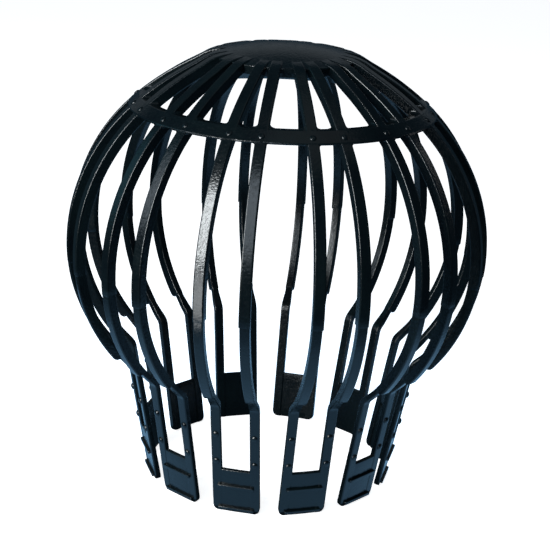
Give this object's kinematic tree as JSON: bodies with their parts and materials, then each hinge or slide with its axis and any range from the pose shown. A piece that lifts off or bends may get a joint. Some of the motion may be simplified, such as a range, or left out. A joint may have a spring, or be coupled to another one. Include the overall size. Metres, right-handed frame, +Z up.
{
  "type": "downpipe leaf filter",
  "caption": "Ball-shaped cage of moulded ribs on spring tabs that push into a downpipe's mouth and keep leaves out of it.",
  "frame": {"origin": "on the ball's axis, level with the lower edges of the tabs", "axes": "+Z up along the ball's axis, out of the pipe; -Y is the side that faces the camera in the picture"},
  "size_m": [0.1588, 0.1588, 0.1689],
  "materials": {
    "black_plastic": "satin moulded polypropylene, near black"
  },
  "bodies": {
    "root": {"leaf_filter": "black_plastic"}
  },
  "joints": []
}
